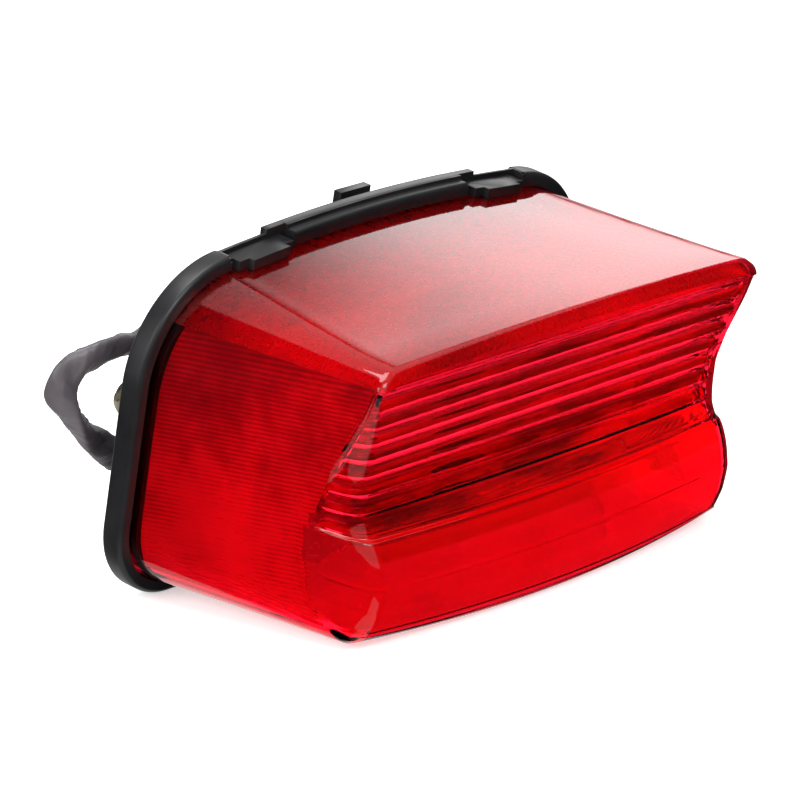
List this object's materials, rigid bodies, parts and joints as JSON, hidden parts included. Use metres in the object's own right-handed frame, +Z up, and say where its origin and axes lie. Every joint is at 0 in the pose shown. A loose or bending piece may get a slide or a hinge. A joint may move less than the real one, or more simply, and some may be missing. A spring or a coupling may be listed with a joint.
{
  "type": "motorcycle tail light",
  "caption": "Motorcycle rear and stop lamp: deep red ribbed lens snapped to a black housing, with twist-in bulb holders, threaded mounting inserts and a sleeved wiring lead.",
  "frame": {"origin": "centre of the footprint's bounding box (without the wiring) on the surface that the lamp stands on, bottom of the rim and of the lens's front edge", "axes": "+X across the lamp, towards the right as seen facing the lens; -Y the way the lens faces; +Z up. The lamp leans 10.4 degrees forward, as it stands on its rim and lens edge."},
  "size_m": [0.2132, 0.1607, 0.113],
  "materials": {
    "red_lens": "glossy translucent red, moulded ribs inside",
    "black_housing": "satin black moulded plastic",
    "foam": "matte foam cord",
    "silver_reflector": "bright metallised",
    "zinc_steel": "bright zinc plate",
    "yellow_zinc": "pale yellow zinc plate",
    "black_nylon": "satin nylon",
    "black_rubber": "matte rubber",
    "black_pvc": "satin PVC",
    "harness_tape": "satin PVC tape",
    "grey_pvc": "satin dark grey PVC sleeving, flattened and creased",
    "natural_nylon": "satin natural nylon",
    "tinned_brass": "tinned",
    "nickel_brass": "satin brass",
    "clear_glass": "clear",
    "filament": "dark wire",
    "fibre_board": "matte laminated fibre",
    "spring_steel": "bright wire"
  },
  "bodies": {
    "lamp": {"lens": "red_lens", "housing": "black_housing", "lens_gasket": "foam", "reflector": "silver_reflector", "reflector_screws": "zinc_steel", "mount_inserts": "yellow_zinc", "cable_clips": "black_nylon", "clip_screws": "zinc_steel", "lead_left": "black_pvc", "lead_right": "black_pvc", "splice_wrap": "harness_tape", "harness_sleeve": "grey_pvc", "connector_boot": "black_rubber", "connector_housing": "natural_nylon", "connector_terminals": "tinned_brass"},
    "holder_left": {"holder_left": "black_nylon", "holder_seal_left": "black_rubber", "socket_shell_left": "tinned_brass", "lead_boot_left": "black_rubber"},
    "holder_right": {"holder_right": "black_nylon", "holder_seal_right": "black_rubber", "socket_shell_right": "tinned_brass", "lead_boot_right": "black_rubber"},
    "bulb_left": {"bulb_glass_left": "clear_glass", "bulb_cap_left": "nickel_brass", "bulb_filaments_left": "filament", "contact_plate_left": "fibre_board", "contact_spring_left": "spring_steel"},
    "bulb_right": {"bulb_glass_right": "clear_glass", "bulb_cap_right": "nickel_brass", "bulb_filaments_right": "filament", "contact_plate_right": "fibre_board", "contact_spring_right": "spring_steel"}
  },
  "joints": [
    {"name": "holder_left_twist", "type": "hinge", "parent": "lamp", "child": "holder_left", "pos_m": [-0.045, 0.03977, 0.05965], "axis": [0, 0.9836, 0.1805], "range_deg": [0, 45]},
    {"name": "bulb_left_push", "type": "slide", "parent": "holder_left", "child": "bulb_left", "axis": [0, 0.9836, 0.1805], "range_m": [0, 0.002], "stiffness_N_per_m": 1200, "springref_m": -0.003},
    {"name": "holder_right_twist", "type": "hinge", "parent": "lamp", "child": "holder_right", "pos_m": [0.045, 0.03977, 0.05965], "axis": [0, 0.9836, 0.1805], "range_deg": [0, 45]},
    {"name": "bulb_right_push", "type": "slide", "parent": "holder_right", "child": "bulb_right", "axis": [0, 0.9836, 0.1805], "range_m": [0, 0.002], "stiffness_N_per_m": 1200, "springref_m": -0.003}
  ]
}
